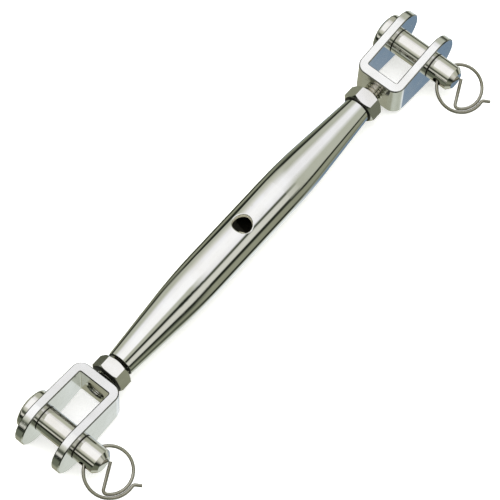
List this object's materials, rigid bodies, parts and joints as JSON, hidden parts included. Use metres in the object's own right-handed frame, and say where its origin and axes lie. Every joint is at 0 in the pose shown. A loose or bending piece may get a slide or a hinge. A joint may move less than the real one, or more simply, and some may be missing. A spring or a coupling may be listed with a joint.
{
  "type": "jaw and jaw rigging turnbuckle",
  "caption": "Closed-body stainless turnbuckle: a tapered barrel with a cross-hole, lock nuts, and a fork at each end with a clevis pin held by a ring cotter.",
  "frame": {"origin": "centre of the barrel's cross-hole, on the axis of the barrel", "axes": "+X along the barrel towards the upper fork, +Z along the cross-hole and out of both forks' windows, +Y towards the heads of the clevis pins"},
  "size_m": [0.1817, 0.0399, 0.0162],
  "materials": {
    "barrel_steel": "mirror polished",
    "nut_steel": "machined and polished",
    "fork_steel": "polished",
    "pin_steel": "polished",
    "stud_steel": "rolled thread, bright",
    "wire_steel": "bright drawn wire"
  },
  "bodies": {
    "lower_jaw": {"lower_fork": "fork_steel", "lower_stud": "stud_steel"},
    "lower_lock_nut": {"lower_lock_nut": "nut_steel"},
    "barrel": {"barrel": "barrel_steel"},
    "upper_lock_nut": {"upper_lock_nut": "nut_steel"},
    "upper_jaw": {"upper_fork": "fork_steel", "upper_stud": "stud_steel"},
    "lower_clevis_pin": {"lower_clevis_pin": "pin_steel"},
    "upper_clevis_pin": {"upper_clevis_pin": "pin_steel"},
    "lower_ring_cotter": {"lower_ring_cotter": "wire_steel"},
    "upper_ring_cotter": {"upper_ring_cotter": "wire_steel"}
  },
  "joints": [
    {"name": "barrel_turn", "type": "hinge", "parent": "lower_lock_nut", "child": "barrel", "pos_m": [0, 0, 0], "axis": [1, 0, 0], "range_deg": [-468.5, 13681]},
    {"name": "lower_nut_slide", "type": "slide", "parent": "lower_jaw", "child": "lower_lock_nut", "axis": [1, 0, 0], "range_m": [-0.00131, 0.03801]},
    {"name": "upper_jaw_slide", "type": "slide", "parent": "lower_jaw", "child": "upper_jaw", "axis": [1, 0, 0], "range_m": [-0.0026, 0.076]},
    {"name": "upper_nut_spin", "type": "hinge", "parent": "barrel", "child": "upper_lock_nut", "pos_m": [0.058, 0, 0], "axis": [1, 0, 0], "continuous": true},
    {"name": "lower_pin_spin", "type": "hinge", "parent": "lower_jaw", "child": "lower_clevis_pin", "pos_m": [-0.0808, 0, 0], "axis": [0, 1, 0], "continuous": true},
    {"name": "upper_pin_spin", "type": "hinge", "parent": "upper_jaw", "child": "upper_clevis_pin", "pos_m": [0.0815, 0, 0], "axis": [0, 1, 0], "continuous": true},
    {"name": "lower_ring_swing", "type": "hinge", "parent": "lower_clevis_pin", "child": "lower_ring_cotter", "pos_m": [-0.0808, -0.0122, 0], "axis": [1, 0, 0], "range_deg": [-115, 75]},
    {"name": "upper_ring_swing", "type": "hinge", "parent": "upper_clevis_pin", "child": "upper_ring_cotter", "pos_m": [0.0815, -0.0122, 0], "axis": [1, 0, 0], "range_deg": [-115, 75]}
  ],
  "couplings": [
    {"joint": "lower_nut_slide", "follows": "upper_jaw_slide", "ratio": 0.5},
    {"joint": "barrel_turn", "follows": "upper_jaw_slide", "rad_per_m": 3141.6}
  ]
}
